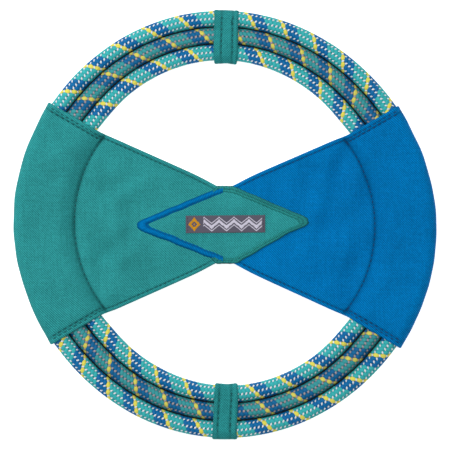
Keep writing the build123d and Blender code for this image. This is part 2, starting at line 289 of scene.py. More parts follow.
def web_plan(q, v):
    """x and y on a web at q, with v from -1 at one edge to 1 at the other."""
    f = share(q / SEAM_R)
    x = f * SEAM_R * np.cos(v * SEAM_ANGLE)
    y = ((1 - f) * v * EDGE_AT_CENTRE + f * SEAM_R * np.sin(v * SEAM_ANGLE)) * waist(q)
    return x, y


def sleeve_section(s):
    """Radius, height and outward normal at a distance s up a sleeve's front from its seam."""
    s = np.asarray(s, float)
    up_slope = share(s / SLOPE_L)
    r = SLOPE_FOOT[0] + (SLOPE_TOP[0] - SLOPE_FOOT[0]) * up_slope
    z = SLOPE_FOOT[1] + (SLOPE_TOP[1] - SLOPE_FOOT[1]) * up_slope
    angle = np.full(s.shape, SLOPE_END)
    crown = s - SLOPE_L
    on_crown = crown > 0
    angle = np.where(on_crown, SLOPE_END - np.clip(crown, 0, CROWN_L) / WRAP_R, angle)
    r = np.where(on_crown, LOOP_R["inner"] + WRAP_R * np.cos(angle), r)
    z = np.where(on_crown, WRAP_R * np.sin(angle), z)
    flat = crown - CROWN_L
    r = np.where(flat > 0, LOOP_R["inner"] + np.clip(flat, 0, FLAT_L), r)
    rise = np.sin(pi / 2 * share((r - SEAM_R) / (RISE_END - SEAM_R))) ** 0.9
    z = np.maximum(z, WEB_Z + (WRAP_R - WEB_Z) * rise)
    fold = flat - FLAT_L
    angle = np.where(fold > 0, pi / 2 - fold / WRAP_R, angle)
    r = np.where(fold > 0, LOOP_R["outer"] + WRAP_R * np.cos(angle), r)
    z = np.where(fold > 0, WRAP_R * np.sin(angle), z)
    return r, z, np.cos(angle), np.sin(angle)


def wing_row(q):
    """Half length of a wing's row, and what share of it near the edge lies square to the edge."""
    f = share(q / SEAM_R)
    web_half = ((1 - f) * EDGE_AT_CENTRE + f * SEAM_R * SEAM_ANGLE) * waist(q)
    r = sleeve_section(np.maximum(q - SEAM_R, 0))[0]
    half = np.where(q <= SEAM_R, web_half, r * edge_angle(r))
    square = np.where(q <= SEAM_R, WEB_SQUARE + WEB_SQUARE_GAIN * f, SLEEVE_SQUARE)
    return half, square


def placed_wing(side, face, x, y, z):
    """Takes points drawn on the right wing's front to a wing's own side and face."""
    return stacked(side * x, y + WING_LEAN[side] * x, face * z)


# ---- Wing surface ----
EDGE_SEAM_INSET = 2.3
SLEEVE_SEAM_INSET = 3.9
HEM_ROLL = 0.8  # over which the cloth turns down at its edge
HEM_CREST, HEM_CREST_W = 1.2, 0.75
GATHER_PITCH, GATHER_WANDER = 4.3, 7.0
SLACK_SCALE, SMALL_SCALE = 36.0, 17.0
WEB_SLACK, SLEEVE_SLACK = 1.60, 0.05
WEB_SMALL, SLEEVE_SMALL = 0.56, 0.12
FLARE, FLARE_RUN, FLARE_REACH = 1.05, 8.0, 13.0  # of a sleeve's mouth off the outer loop


def gathered_wave(a):
    """The arc seam's gathers, whose spacing wanders."""
    return np.sin(2 * pi * a / GATHER_PITCH + 1.5 * np.sin(a / GATHER_WANDER))


def hem_relief(edge, q):
    """The rolled edge, its crest, and the sewn valleys beside it."""
    on_web = q <= SEAM_R
    drop = np.where(on_web, WEB_Z - 0.05, CLOTH_T)
    lift = -drop * (1 - np.sqrt(1 - (1 - share(edge / HEM_ROLL)) ** 2))
    round_the_fold = share((q - SEAM_R - SLOPE_L - CROWN_L - FLAT_L) / (0.5 * FOLD_L))
    flatter = 1 - 0.85 * round_the_fold
    lift = lift + np.where(on_web, 0.22, 0.38) * ridge(edge - HEM_CREST, HEM_CREST_W) * flatter
    wave = np.cos(2 * pi * q / STITCH_PITCH)
    first = ridge(edge - EDGE_SEAM_INSET, 0.42) * flatter
    lift = lift - (np.where(on_web, 0.38, 0.30) + 0.10 * wave) * first
    second = (0.50 + 0.12 * wave) * ridge(edge - SLEEVE_SEAM_INSET, 0.55) * flatter
    return lift - np.where(q > SEAM_R + 2, second, 0)


def seam_relief(edge, from_seam, a):
    """The arc seam pulls the cloth down to the middle, gathers it, and puffs the web beside it."""
    pulled = 0.50 + 0.16 * np.cos(2 * pi * a / STITCH_PITCH)
    lift = -pulled * ridge(from_seam, 0.75) * share(edge / 2)
    gather = gathered_wave(a) + 0.5 * np.sin(2 * pi * a / 2.9 + 1)
    lift = lift + 0.06 * gather * np.exp(-np.abs(from_seam - 0.8) / 3.0) * share(edge / 4)
    return lift + 0.30 * ridge(from_seam + 4.5, 3.5) * share(edge / 6)


def slack_relief(edge, q, x, y, face, seed):
    """Slack that both layers of a web share, and the little there is in the sleeve."""
    on_web = q <= SEAM_R
    slack = smooth_noise(x, y, seed + 3, SLACK_SCALE) * share(edge / 12)
    slack_zone = share((SEAM_R - q) / 14) * share((q - 42) / 20)
    lift = np.where(on_web, WEB_SLACK * face * slack * slack_zone, SLEEVE_SLACK * slack)
    small = smooth_noise(x, y, seed + 5, SMALL_SCALE) * share(edge / 8)
    return lift + np.where(on_web, WEB_SMALL * face * share((q - 30) / 20), SLEEVE_SMALL) * small


def sleeve_flare(q, edge):
    """A sleeve's mouth stands off the outer loop."""
    on_fold = share((q - SEAM_R - SLOPE_L - CROWN_L - FLAT_L * 0.75) / FLARE_RUN)
    return FLARE * on_fold * np.exp(-np.maximum(edge, 0) / FLARE_REACH)


def loops_showing(edge, q):
    """How far the sleeve sags between the loops under it."""
    between = (q - SEAM_R - SLOPE_L - CROWN_L) / LOOP_PITCH
    sag = np.where((between > 0) & (between < 2), np.sin(pi * np.clip(between, 0, 2)) ** 2, 0)
    return 0.10 * sag * share(edge / 3)


def wing_relief(edge, q, x, y, a, face, seed):
    """How far a wing's cloth stands off its plain shape."""
    lift = hem_relief(edge, q) + seam_relief(edge, q - SEAM_R, a)
    lift = lift + 0.05 * smooth_noise(q, a, seed + 11, 5.0) * np.exp(-edge / 4.0) * (edge > 0.3)
    lift = lift + slack_relief(edge, q, x, y, face, seed)
    return lift + sleeve_flare(q, edge) - loops_showing(edge, q)


def wing_surface(side, face, seed, q, a, extra=0.0):
    """Points of a wing's cloth at q and a, lifted off it by extra, and their uvs."""
    q, a = np.broadcast_arrays(np.asarray(q, float), np.asarray(a, float))
    half, square = wing_row(q)
    edge = (half - np.abs(a)) * square
    on_web = q <= SEAM_R
    web_x, web_y = web_plan(q, a / half)
    s = np.maximum(q - SEAM_R, 0)
    r, z, normal_r, normal_z = sleeve_section(s)
    angle = a / np.maximum(r, 1)
    plan_x = np.where(on_web, web_x, r * np.cos(angle))
    plan_y = np.where(on_web, web_y, r * np.sin(angle))
    plan_a = np.arctan2(plan_y, plan_x)
    lift = wing_relief(edge, q, plan_x, plan_y, a, face, seed) + extra
    outward = np.where(on_web, 0, lift * normal_r)
    x = plan_x + outward * np.cos(plan_a)
    y = plan_y + outward * np.sin(plan_a)
    z = np.where(on_web, WEB_Z, z) + lift * np.where(on_web, 1, normal_z)
    flat_r = np.where(on_web, np.hypot(plan_x, plan_y), SEAM_R + s)
    uv = stacked(side * flat_r * np.cos(plan_a), flat_r * np.sin(plan_a))
    return placed_wing(side, face, x, y, z), uv


def turned_hem(side, face, q, a):
    """The turned-in cloth of a hem: under the sleeve's cloth, or at the middle of the web."""
    half = wing_row(np.array(q))[0]
    if q <= SEAM_R:
        x, y = web_plan(q, a / half)
        return placed_wing(side, face, x, y, 0.05)
    r, z, normal_r, normal_z = sleeve_section(q - SEAM_R)
    lift = sleeve_flare(q, half - np.abs(a)) - CLOTH_T
    x, y = (r + lift * normal_r) * np.cos(a / r), (r + lift * normal_r) * np.sin(a / r)
    return placed_wing(side, face, x, y, z + lift * normal_z)


def wing_painted_shade(edge, q, a):
    """Painted shade, from 0 on open cloth to about 1 down in a seam, where little light gets in."""
    from_seam = q - SEAM_R
    if from_seam > 1:
        hem = 0.42 * ridge(edge - 3.6, 0.75)
    else:
        hem = 0.40 * ridge(edge - EDGE_SEAM_INSET, 0.55)
    nearer = np.clip(1 + 0.35 * np.cos(2 * pi * a / STITCH_PITCH), 0, 1.4)
    arc = 0.42 * nearer * ridge(from_seam, 1.1) * share(edge / 2)
    gathers = 1 + 0.5 * gathered_wave(a)
    arc = arc + 0.09 * gathers * ridge(from_seam - 1.5, 2.6) * share(edge / 4)
    corner = 0.35 * ridge(from_seam, 3.0) * ridge(edge - 2.5, 2.0)
    return share(np.maximum(hem, arc) + corner)


HEM_RETURN = (0.35, 1.2, 3.0)  # the hem's turned-in cloth, in from the edge
NEAR_EDGE = (
    0.0, 0.06, 0.16, 0.3, 0.5, 0.75, 1.0, 1.3, 1.6, 1.85, 2.1,
    2.3, 2.5, 2.75, 3.1, 3.4, 3.65, 3.9, 4.15, 4.4, 5.0,
)
WEB_ROWS = 96
SLEEVE_ROWS = 58
MIDDLE_COLUMNS = 96


def wing_mesh(side, seed):
    """One cloth from the centre over the loops and back: its rows, front then back."""
    web_rows = SEAM_R * (1 - (1 - np.linspace(0, 1, WEB_ROWS)) ** 1.15)
    sleeve_rows = SEAM_R + SLEEVE_L * np.linspace(0, 1, SLEEVE_ROWS)[1:] ** 1.05
    front = np.concatenate([web_rows, sleeve_rows])
    rows = [(q, 1) for q in front] + [(q, -1) for q in front[::-1][1:]]
    points, uvs, painted_shades = [], [], []
    for q, face in rows:
        half, square = wing_row(np.array(q))
        near = np.array(NEAR_EDGE) / square
        inner = np.linspace(half - near[-1], -(half - near[-1]), MIDDLE_COLUMNS)
        a = np.concatenate([half - near[:-1], inner, -(half - near[:-1])[::-1]])
        row, uv = wing_surface(side, face, seed, q, a)
        turned_a = half - np.array(HEM_RETURN) / square
        ends = [turned_hem(side, face, q, sign * turned_a) for sign in (1, -1)]
        end_uvs = [wing_surface(side, face, seed, q, sign * turned_a)[1] for sign in (1, -1)]
        points.append(np.concatenate([ends[0][::-1], row, ends[1]]))
        uvs.append(np.concatenate([end_uvs[0][::-1], uv, end_uvs[1]]))
        open_painted_shade = wing_painted_shade((half - np.abs(a)) * square, q, a)
        painted_shades.append(np.pad(open_painted_shade, len(HEM_RETURN)))
    faces = grid_faces(len(points), len(points[0]), flip=side < 0)
    return np.array(points), faces, np.array(uvs), np.array(painted_shades)


# ---- Materials ----
def linear(*screen):
    """A screen colour from 0 to 255 as Blender's linear one."""
    def one(c):
        c = c / 255
        return c / 12.92 if c <= 0.04045 else ((c + 0.055) / 1.055) ** 2.4
    return tuple(one(c) for c in screen) + (1.0,)


def shades(red, green, blue, dark=0.72, light=1.22):
    """A colour with its darker and lighter neighbours."""
    middle = linear(red, green, blue)
    return (
        middle,
        tuple(c * dark for c in middle[:3]) + (1,),
        tuple(min(c * light, 1) for c in middle[:3]) + (1,),
    )


class Nodes:
    """Short names for building one material's nodes."""

    def __init__(self, name, roughness, specular):
        self.material = bpy.data.materials.new(name)
        self.material.use_nodes = True
        self.tree = self.material.node_tree
        self.shader = self.tree.nodes["Principled BSDF"]
        self.shader.inputs["Roughness"].default_value = roughness
        self.shader.inputs["Specular IOR Level"].default_value = specular

    def add(self, kind, **values):
        node = self.tree.nodes.new(kind)
        for key, value in values.items():
            setattr(node, key, value)
        return node

    def plug(self, value, socket):
        if isinstance(value, bpy.types.NodeSocket):
            self.tree.links.new(value, socket)
        else:
            socket.default_value = value

    def math(self, operation, *values, clamp=False):
        node = self.add("ShaderNodeMath", operation=operation, use_clamp=clamp)
        for value, socket in zip(values, node.inputs):
            self.plug(value, socket)
        return node.outputs[0]

    def mix(self, factor, a, b):
        node = self.add("ShaderNodeMix", data_type="RGBA")
        for value, place in ((factor, 0), (a, 6), (b, 7)):
            self.plug(value, node.inputs[place])
        return node.outputs[2]

    def uv_mm(self):
        separate = self.add("ShaderNodeSeparateXYZ")
        uv = self.add("ShaderNodeUVMap", uv_map="cloth_mm").outputs[0]
        self.plug(uv, separate.inputs[0])
        return separate.outputs[0], separate.outputs[1]

    # Reads the painted shade that each mesh carries as a point attribute.
    def depth(self):
        return self.add("ShaderNodeAttribute", attribute_name="depth").outputs["Fac"]

    def stretched(self, u, v, times_u, times_v):
        node = self.add("ShaderNodeCombineXYZ")
        self.plug(self.math("MULTIPLY", u, times_u), node.inputs[0])
        self.plug(self.math("MULTIPLY", v, times_v), node.inputs[1])
        return node.outputs[0]

    def noise(self, scale, detail, vector=None):
        node = self.add("ShaderNodeTexNoise")
        node.inputs["Scale"].default_value = scale
        node.inputs["Detail"].default_value = detail
        if vector is None:
            vector = self.add("ShaderNodeTexCoord").outputs["Object"]
        self.plug(vector, node.inputs["Vector"])
        return node.outputs["Fac"]

    def wave(self, value, period):
        """sin of value over period, from 0 to 1."""
        turned = self.math("MULTIPLY", value, 2 * pi / period)
        return self.math("MULTIPLY_ADD", self.math("SINE", turned), 0.5, 0.5)

    def bump(self, height, distance, strength):
        node = self.add("ShaderNodeBump")
        node.inputs["Strength"].default_value = strength
        node.inputs["Distance"].default_value = distance
        self.plug(height, node.inputs["Height"])
        return node.outputs[0]

    def finish(self, colour, normal=None, roughness=None):
        sockets = {"Base Color": colour, "Normal": normal, "Roughness": roughness}
        for socket, value in sockets.items():
            if value is not None:
                self.plug(value, self.shader.inputs[socket])
        return self.material


THREAD_PITCH = 0.67  # of the pack cloth
SLUB_LONG, SLUB_ACROSS = 0.07, 1.3  # scales of a slub's noise
PAINTED_SEAM_SHADE = 0.34  # share of the cloth's colour kept under painted shade, down in a seam
GROOVE_SHADE = linear(0, 56, 68)


def pack_cloth(name, colour, dark, light, twill=0.72, check=0.36):
    """Coated plain-weave pack cloth: each thread's float, their diagonals, slubs, uneven dye, and
    painted shade down in its seams.
    """
    n = Nodes(name, 0.78, specular=0.03)
    u, v = n.uv_mm()
    over_u = n.math("SINE", n.math("MULTIPLY", u, pi / THREAD_PITCH))
    over_v = n.math("SINE", n.math("MULTIPLY", v, pi / THREAD_PITCH))
    product = n.math("MULTIPLY", over_u, over_v)
    lump = n.math("SQRT", n.math("ABSOLUTE", product))
    warp_up = n.math("MULTIPLY_ADD", product, 0.5, 0.5)
    diagonal = n.wave(n.math("ADD", u, v), 2 * THREAD_PITCH)
    slub_u = n.noise(1.0, 1.0, n.stretched(u, v, SLUB_LONG, SLUB_ACROSS))
    slub_v = n.noise(1.0, 1.0, n.stretched(u, v, SLUB_ACROSS, SLUB_LONG))
    patchy = n.noise(60.0, 3.0)
    fine = n.noise(950.0, 1.0)
    shade = n.math("MULTIPLY_ADD", diagonal, twill, 0.32 - (twill + check) / 2)
    shade = n.math("MULTIPLY_ADD", warp_up, check, shade)
    for noise, amount in ((slub_u, 0.25), (slub_v, 0.30), (patchy, 0.45), (fine, 0.45)):
        shade = n.math("MULTIPLY_ADD", n.math("SUBTRACT", noise, 0.5), amount, shade)
    shade = n.math("ADD", shade, 0.13, clamp=True)
    cloth = n.mix(0.12, n.mix(shade, dark, light), colour)
    # Painted shade: the cloth darkens towards a dark copy of its colour where the mesh says it lies
    # deep in a seam.
    seam_shade_colour = tuple(PAINTED_SEAM_SHADE * c for c in colour[:3]) + (1,)
    cloth = n.mix(n.depth(), cloth, seam_shade_colour)
    normal = n.bump(n.math("MULTIPLY_ADD", diagonal, 0.8, lump), 0.00010, 0.8)
    return n.finish(cloth, normal, n.math("MULTIPLY_ADD", patchy, 0.12, 0.70))


def braid_yarn(name, colour, dark, light, groove_shade_share=0.36):
    """A flat bundle of fine filaments, uneven along its length, with painted shade down in the
    grooves.
    """
    n = Nodes(name, 0.6, specular=0.16)
    u, v = n.uv_mm()
    wander = n.math("MULTIPLY_ADD", n.math("SINE", n.math("MULTIPLY", u, 1.1)), 0.08, v)
    filaments = n.wave(wander, 0.26)
    half_filaments = n.math("MULTIPLY", filaments, 0.5)
    shade = n.math("MULTIPLY_ADD", n.noise(700.0, 2.0), 0.6, half_filaments, clamp=True)
    yarn = n.mix(0.4, n.mix(shade, dark, light), colour)
    # Painted shade: the yarn darkens towards the groove shade colour where it lies deep in a groove
    # or between yarns.
    yarn = n.mix(n.math("MULTIPLY", n.depth(), groove_shade_share), yarn, GROOVE_SHADE)
    return n.finish(yarn, n.bump(filaments, 0.00005, 0.6))


def thread(name, colour, dark):
    """Bonded twisted thread, of screen colours."""
    n = Nodes(name, 0.55, specular=0.2)
    u, v = n.uv_mm()
    ply = n.wave(n.math("MULTIPLY_ADD", v, 1.2, u), 0.55)
    return n.finish(n.mix(ply, linear(*dark), linear(*colour)), n.bump(ply, 0.00004, 0.7))


def label_tape(name, colour, dark):
    """Fine damask tape: close ribs along its length."""
    n = Nodes(name, 0.6, specular=0.15)
    u, v = n.uv_mm()
    ribs = n.wave(v, 0.33)
    floats = n.wave(n.math("MULTIPLY_ADD", v, 1.7, u), 0.8)
    shade = n.math("MULTIPLY_ADD", floats, 0.25, n.math("MULTIPLY", ribs, 0.45))
    shade = n.math("MULTIPLY_ADD", n.noise(1500.0, 2.0), 0.4, shade, clamp=True)
    return n.finish(n.mix(shade, dark, colour), n.bump(ribs, 0.00005, 0.7))


TEAL = pack_cloth("teal_pack_cloth", *shades(46, 146, 147, 0.42, 1.6))
BLUE = pack_cloth("blue_pack_cloth", *shades(0, 115, 181, 0.42, 1.62))
BLUE_BAND = pack_cloth("blue_folded_cloth", *shades(0, 114, 180, 0.5, 1.5))
STRAP = pack_cloth("strap_cloth", *shades(43, 141, 142, 0.38, 1.65), twill=0.35, check=0.75)
TEAL_BAND = pack_cloth("teal_folded_cloth", *shades(43, 138, 135, 0.42, 1.6))
YARNS = {
    "yellow": braid_yarn("yellow_yarn", *shades(234, 224, 92, 0.75, 1.15)),
    "blue": braid_yarn("blue_yarn", *shades(4, 107, 168, 0.62, 1.3)),
    "teal": braid_yarn("teal_yarn", *shades(56, 180, 182, 0.60, 1.32)),
    "white": braid_yarn("white_yarn", *shades(236, 240, 248, 0.84, 1.1), groove_shade_share=0.85),
    "grey": braid_yarn("grey_yarn", *shades(166, 157, 165, 0.8, 1.2), groove_shade_share=0.85),
    "dull_teal": braid_yarn("dull_teal_yarn", *shades(58, 156, 161, 0.62, 1.3)),
    "dull_blue": braid_yarn("dull_blue_yarn", *shades(14, 103, 156, 0.62, 1.3)),
    "dull_yellow": braid_yarn("dull_yellow_yarn", *shades(224, 214, 96, 0.75, 1.15)),
}
# The core's dark teal is painted shade for the gaps between the braid's yarns.
CORE_IN_PAINTED_SHADE = braid_yarn("core_strand", *shades(24, 88, 102))
BLACK_THREAD = thread("black_thread", (8, 20, 26), (2, 6, 9))
TEAL_THREAD = thread("teal_thread", (17, 98, 100), (9, 68, 70))
BLUE_THREAD = thread("blue_thread", (1, 72, 122), (0, 50, 92))
DARK_THREAD = thread("dark_thread", (48, 47, 56), (26, 26, 32))
AMBER_THREAD = thread("amber_thread", (236, 172, 20), (190, 128, 8))
PALE_THREAD = thread("pale_thread", (238, 234, 248), (196, 192, 210))
LABEL = label_tape("label_tape", linear(101, 98, 113), linear(72, 70, 83))


# ---- Braided loops ----
BRAID_PITCH = 18.85  # along the rope, for one turn of a yarn
CARRIERS = 8  # each way round
YARN_STEPS = 10  # points for each crest and dip of a yarn
SHEATH_R = 4.24
FLAT_YARN = (2.14, 0.84, 0.11)  # width, thickness, crimp
FINE_YARNS = {"white": (1.10, 0.46, 0.31), "grey": (1.40, 0.46, 0.33)}
# The first yellow crossing of the outer side in degrees, above and below; colours clockwise.
LOOP_LOOKS = {
    "outer": (84.8, 274.8, ["yellow"] + ["blue"] * 3 + ["teal"] * 4, "white"),
    "middle": (140.0, 274.6, ["dull_yellow"] + ["dull_teal"] * 4 + ["dull_blue"] * 3, "grey"),
    "inner": (114.6, 271.6, ["yellow"] + ["teal"] * 4 + ["blue"] * 3, "white"),
}
TUCKED = radians(3.5)  # how far the braid runs on inside a sleeve
CORE_LOOSE = 0.4  # the strands fill the sheath a little wider than the CAD core
GROOVE_Z, GROOVE_WANDER, GROOVE_REACH = 2.15, 0.05, 1.15


def circle(r, a, z=0.0):
    """Points at radius r, angle a and height z."""
    return stacked(r * np.cos(a), r * np.sin(a), z)


def yarn_path(loop_r, first, start, end, turn, carrier, shape):
    """A yarn's centre line over an arc of its loop, its outward direction and its section."""
    width, thickness, crimp = shape
    turns_per_radian = loop_r * 2 * pi / BRAID_PITCH
    count = int((end - start) * turns_per_radian / (2 * pi) * CARRIERS * YARN_STEPS)
    a = np.linspace(start, end, count)
    twist = turns_per_radian * (a - first)
    roll = turn * (twist + 2 * pi * carrier / CARRIERS) + 0.05 * np.sin(a * 23 + loop_r)
    on_top = turn * np.cos(CARRIERS * twist)
    out = circle(np.cos(roll), a, np.sin(roll))
    if turn < 0:
        r = SHEATH_R + crimp * on_top
        widths = width * (1 + 0.24 * on_top)
    else:
        r = SHEATH_R + crimp * on_top * np.abs(on_top)
        widths = width * np.sqrt(np.clip(on_top, 0.15, 1))
    return circle(loop_r, a) + out * r[:, None], out, widths, np.full(count, thickness)


def groove_r(outer, inner):
    return (LOOP_R[outer] + LOOP_R[inner]) / 2


def braid_painted_shade(points, loop_r, between):
    """Painted shade: 1 down in a groove between two loops, and up to between down between a loop's
    yarns.
    """
    r = np.hypot(points[:, 0], points[:, 1])
    grooves = groove_r("outer", "middle"), groove_r("middle", "inner")
    groove = np.maximum(*(ridge(r - middle, GROOVE_REACH) for middle in grooves))
    sunk = SHEATH_R + 0.5 - np.hypot(r - loop_r, points[:, 2])
    return share(groove + between * share(sunk / 0.45))


def build_braid(name):
    """Eight broad yarns one way round the rope and eight fine ones the other way."""
    loop_r = LOOP_R[name]
    above, below, colours, fine = LOOP_LOOKS[name]
    reach = float(edge_angle(loop_r)) - TUCKED
    yarns = {}
    for first, start, end in ((above, reach, pi - reach), (below, pi + reach, 2 * pi - reach)):
        for carrier, colour in enumerate(colours):
            crossing = ((-1, colour, FLAT_YARN, 8), (1, fine, FINE_YARNS[fine], 6))
            for turn, kind, shape, around in crossing:
                path = yarn_path(loop_r, radians(first), start, end, turn, carrier, shape)
                yarns.setdefault(kind, Gathered()).put(*tube(*path, around))
    # Painted shade between the yarns: fuller on the middle loop than on the others.
    between, slot = (1.0, "muted_sheath") if name == "middle" else (0.6, "bright_sheath")

    def painted_shade_at(points):
        return braid_painted_shade(points, loop_r, between)
    pieces = [
        gathered.piece(f"{name}_rope_{kind}_yarns", YARNS[kind], slot, painted_shade_at)
        for kind, gathered in yarns.items()
    ]
    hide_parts(f"{name}_rope_sheath")


def build_core(name):
    """The core inside the braid, seen only between the yarns; its dark colour is painted shade for
    those gaps.
    """
    strands = Gathered()
    width = 2 * CORE_R + CORE_LOOSE
    strands.put_even_tube(circle(LOOP_R[name], np.linspace(0, 2 * pi, 361)), 1, width, width, 24)
    piece = strands.piece(f"{name}_rope_core_strands", CORE_IN_PAINTED_SHADE, "rope_core")
    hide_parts(f"{name}_rope_core", f"{name}_rope_whipping")


def build_groove_thread(name, outer, inner):
    """A thin black ring down in the groove between two loops, on both faces."""
    threads = Gathered()
    a = np.linspace(0, 2 * pi, 1441)
    r = groove_r(outer, inner) + GROOVE_WANDER * np.sin(a * 95)
    for face in (1, -1):
        threads.put_even_tube(circle(r, a, face * GROOVE_Z), face, 0.44, 0.5, 8)
    piece = threads.piece(f"{name}_groove_black_ring", BLACK_THREAD, "groove_thread")
    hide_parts(f"{name}_groove_thread")


for loop in LOOP_R:
    build_braid(loop)
    build_core(loop)
build_groove_thread("outer", "outer", "middle")
build_groove_thread("inner", "middle", "inner")


# ---- Stitches ----
STITCH_D = 0.5
STITCH_L = 2.35
STITCH_ARCH = np.array([-0.32, -0.05, 0.08, 0.12, 0.08, -0.05, -0.32]) / STITCH_D
STITCH_TAPER = np.array([0.45, 0.9, 1.0, 1.0, 1.0, 0.9, 0.45])
TACK = {"length": 2.6, "pitch": 2.5, "size": 0.42}  # one stitch across a seam's end


def stitch_run(gathered, spot, length, pitch=STITCH_PITCH, size=STITCH_D, stitch_l=STITCH_L):
    """Stitches along a seam. spot(t, lift) gives the points at distances t along it."""
    count = int(length // pitch)
    for i in range(count):
        t = (i + 0.5) * length / count + np.linspace(-0.5, 0.5, len(STITCH_ARCH)) * stitch_l
        lift = STITCH_ARCH * size
        path, above = spot(t, lift), spot(t, lift + 1.0)
        widths = size * STITCH_TAPER
        gathered.put(*tube(path, above - path, widths, widths * 0.85, 6))


# ---- Wings ----
EDGE_START = 12.0  # the edge seam's first stitch, out from the centre line
ARC_SEAM_END = 3.2  # the arc seam's last stitch, in from the edge


def build_wing(name, side, cloth, thread_material, thread_slot, seed):
    """A wing's cloth and its stitching: the cloth piece, and the pieces sewn to it."""
    points, faces, uvs, painted_shades = wing_mesh(side, seed)
    wing = new_piece(f"{name}_wing_cloth", points, faces, cloth, uvs, painted_shades)
    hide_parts(f"{name}_wing_panel")

    def edge_seam(face, end, start, inset):
        def spot(t, lift):
            q = start + t
            half, square = wing_row(q)
            return wing_surface(side, face, seed, q, end * (half - inset / square), lift)[0]
        return spot

    def arc_seam(face):
        def spot(t, lift):
            return wing_surface(side, face, seed, np.full(t.shape, SEAM_R), t - half, lift)[0]
        return spot

    def arc_tack(face, a):
        return lambda t, lift: wing_surface(side, face, seed, SEAM_R + t - 1.2, a, lift)[0]

    edges, arcs = Gathered(), Gathered()
    half = float(wing_row(np.array(SEAM_R))[0]) - ARC_SEAM_END
    edge_length = SEAM_R + SLEEVE_L - 5.0 - EDGE_START
    for face in (1, -1):
        stitch_run(arcs, arc_seam(face), 2 * half, size=0.70, stitch_l=2.1)
        for end in (1, -1):
            spot = edge_seam(face, end, EDGE_START, EDGE_SEAM_INSET)
            stitch_run(edges, spot, edge_length, size=0.58)
            spot = edge_seam(face, end, SEAM_R + 1.5, SLEEVE_SEAM_INSET)
            stitch_run(edges, spot, SLEEVE_L - 7.0, size=0.74)
            for step in range(4):
                stitch_run(arcs, arc_tack(face, end * (half - 0.8 * step)), **TACK)
    edge_thread = edges.piece(f"{name}_wing_edge_thread", thread_material, thread_slot)
    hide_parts(f"{name}_wing_edge_stitching")
    arc_thread = arcs.piece(f"{name}_wing_arc_thread", thread_material, thread_slot)
    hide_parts(f"{name}_wing_arc_stitching")
    return wing, [edge_thread, arc_thread]


def declare_wing(wing, with_pieces):
    """Works out the half widths along a wing's rows and makes a list of its pieces, and keeps
    neither.
    """
    q = np.linspace(0, SEAM_R + SLEEVE_L, 400)
    half = wing_row(q)[0]
    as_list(with_pieces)


left_wing, left_sewing = build_wing(
    "left", -1, TEAL, TEAL_THREAD, "teal_thread", seed=100
)
right_wing, right_sewing = build_wing(
    "right", 1, BLUE, BLUE_THREAD, "blue_thread", seed=200
)


# ---- Crossed tips ----
LEG_STEPS = 60
CORNER_STEPS = 7
OUTSIDE_CORNER_R, INSIDE_CORNER_R = 1.6, 0.6
BLUE_Z, TEAL_Z = WEB_Z + 0.35, WEB_Z + 0.5
# Height across a folded hem from its outer line to its inner one, and the painted shade of each
# column, darkest at the hem's edges and by its seams.
BLUE_PROFILE = (-0.9, 0.1, 0.75, 1.12, 1.32, 1.42, 1.42, 1.34, 1.16, 0.86, 0.9, 0.45, -0.5)
TEAL_PROFILE = (-0.9, 0.2, 0.9, 1.2, 1.3, 1.1, 0.75, 0.8, 1.05, 1.1, 0.95, 0.55, 0.1)
BLUE_PAINTED_SHADE = (0.7, 0.6, 0.3, 0.08, 0.0, 0.0, 0.0, 0.05, 0.2, 0.5, 0.25, 0.3, 0.6)
TEAL_PAINTED_SHADE = (0.5, 0.4, 0.2, 0.0, 0.0, 0.12, 0.28, 0.15, 0.0, 0.0, 0.05, 0.2, 0.35)
BLUE_SEAM = 9  # the column that is sewn
TEAL_SEAMS = ((6, 0.34), (12, 0.26))  # the same, with each thread's size
BLUE_OUTER = ((-1.0, 21.9), (-47.0, 2.6), (-49.7, 0.9), (-49.7, -2.1), (-47.0, -4.1), (-1.0, -21.9))
BLUE_INNER = ((-1.0, 17.5), (-41.7, 0.5), (-42.3, 0.1), (-42.3, -0.5), (-41.7, -0.9), (-1.0, -17.6))
TEAL_OUTER = (
    (-7.0, 18.6), (-4.4, 21.6), (4.8, 21.8), (44.2, 4.9), (47.4, 3.4),
    (47.8, 0.4), (45.4, -1.4), (37.6, -4.3), (7.4, -21.9), (-4.6, -22.5), (-7.2, -19.2),
)
TEAL_INNER = (
    (-6.0, 16.4), (-3.4, 18.0), (4.0, 17.7), (40.6, 2.4), (41.4, 1.4),
    (41.4, 0.2), (40.8, -0.6), (35.6, -1.9), (5.6, -18.6), (-3.4, -19.2), (-6.0, -17.2),
)
PATCH_TOP_EDGE = ((-44.6, -0.4), (-2.0, 19.4), (4.0, 19.2), (20.0, 12.6), (36.0, 5.6), (43.6, 0.7))
PATCH_LOW_EDGE = (
    (-44.6, -0.4), (-2.0, -19.8), (4.0, -20.4), (20.0, -12.6), (36.0, -3.9), (43.6, 0.5),
)
PATCH_Z, PATCH_PUFF = 1.65, 0.25
PATCH_ROWS, PATCH_COLUMNS = 150, 81


def rounded_path(corners, radius):
    """A path through corner points, each rounded off, with as many points for every leg."""
    corners = [np.array(c, float) for c in corners]
    parts, start = [], corners[0]
    for before, corner, after in zip(corners, corners[1:], corners[2:]):
        to_before, to_after = unit(before - corner), unit(after - corner)
        half = acos(float(np.clip(np.dot(to_before, to_after), -1, 1))) / 2
        legs = [float(np.linalg.norm(end - corner)) for end in (before, after)]
        back = min(radius / tan(half), 0.45 * min(legs))
        enter, leave = corner + to_before * back, corner + to_after * back
        t = np.linspace(0, 1, LEG_STEPS, endpoint=False)[:, None]
        parts.append(start + (enter - start) * t)
        t = np.linspace(0, 1, CORNER_STEPS, endpoint=False)[:, None]
        parts.append((1 - t) ** 2 * enter + 2 * t * (1 - t) * corner + t**2 * leave)
        start = leave
    parts.append(start + (corners[-1] - start) * np.linspace(0, 1, LEG_STEPS)[:, None])
    return np.concatenate(parts)


